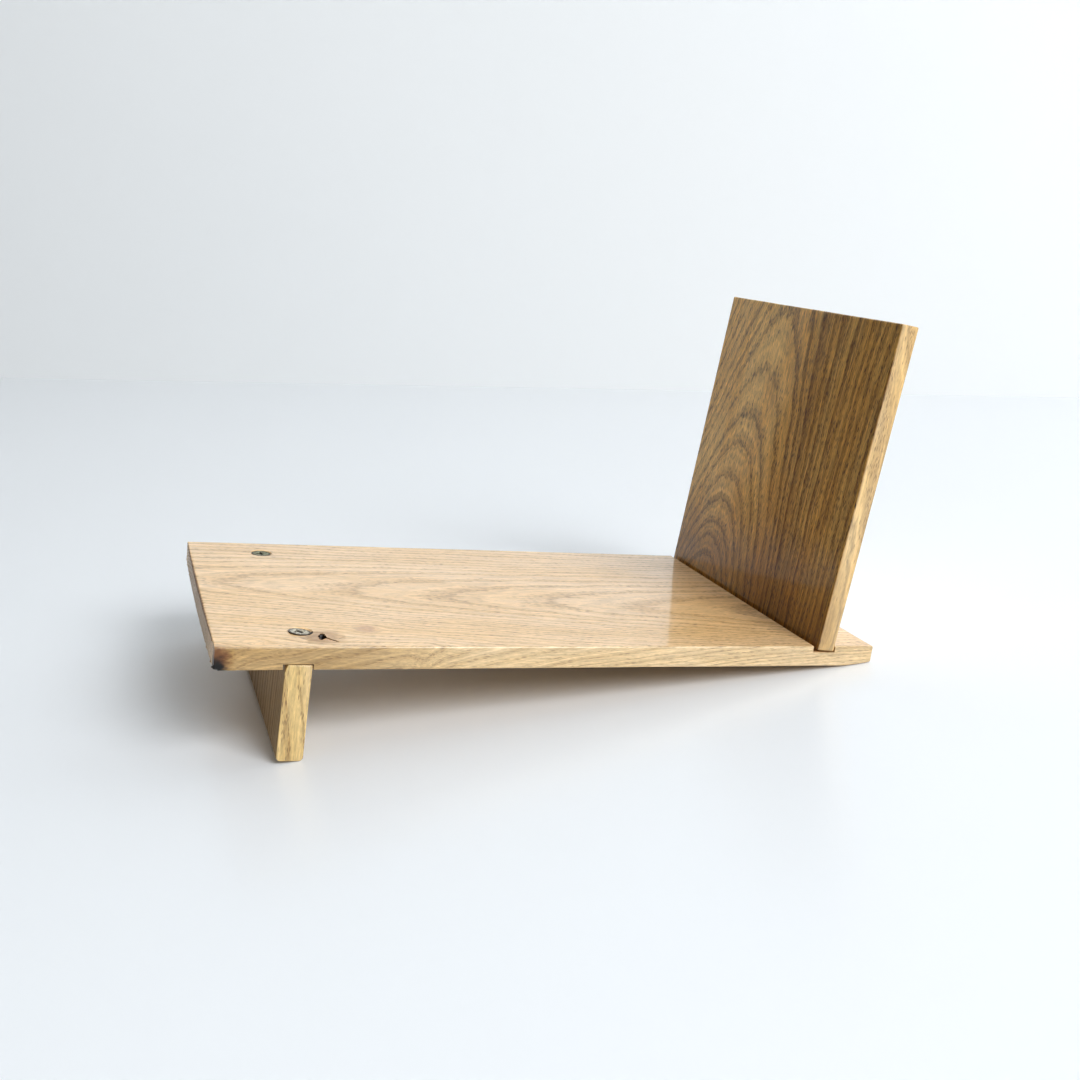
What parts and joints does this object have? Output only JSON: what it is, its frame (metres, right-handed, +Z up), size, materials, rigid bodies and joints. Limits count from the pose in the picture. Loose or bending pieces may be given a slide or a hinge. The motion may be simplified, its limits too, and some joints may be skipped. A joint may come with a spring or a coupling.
{
  "type": "book stand",
  "caption": "Low tilted wooden book stand: a sloping base board on a foot board, with a leaning upright board in a cross dado that backs the book.",
  "frame": {"origin": "centre of the bounding box, on the surface the stand rests on", "axes": "+X along the base board towards the upright, +Y from the front edge to the back edge, +Z up"},
  "size_m": [0.311, 0.1516, 0.1569],
  "materials": {
    "varnished_wood": "ring-porous hardwood under a clear semi-gloss varnish",
    "screw_steel": "dull zinc plate"
  },
  "bodies": {
    "root": {"base_board": "varnished_wood", "upright_board": "varnished_wood", "foot_board": "varnished_wood", "foot_screw_front": "screw_steel", "foot_screw_back": "screw_steel", "upright_screw_front": "screw_steel", "upright_screw_back": "screw_steel"}
  },
  "joints": []
}
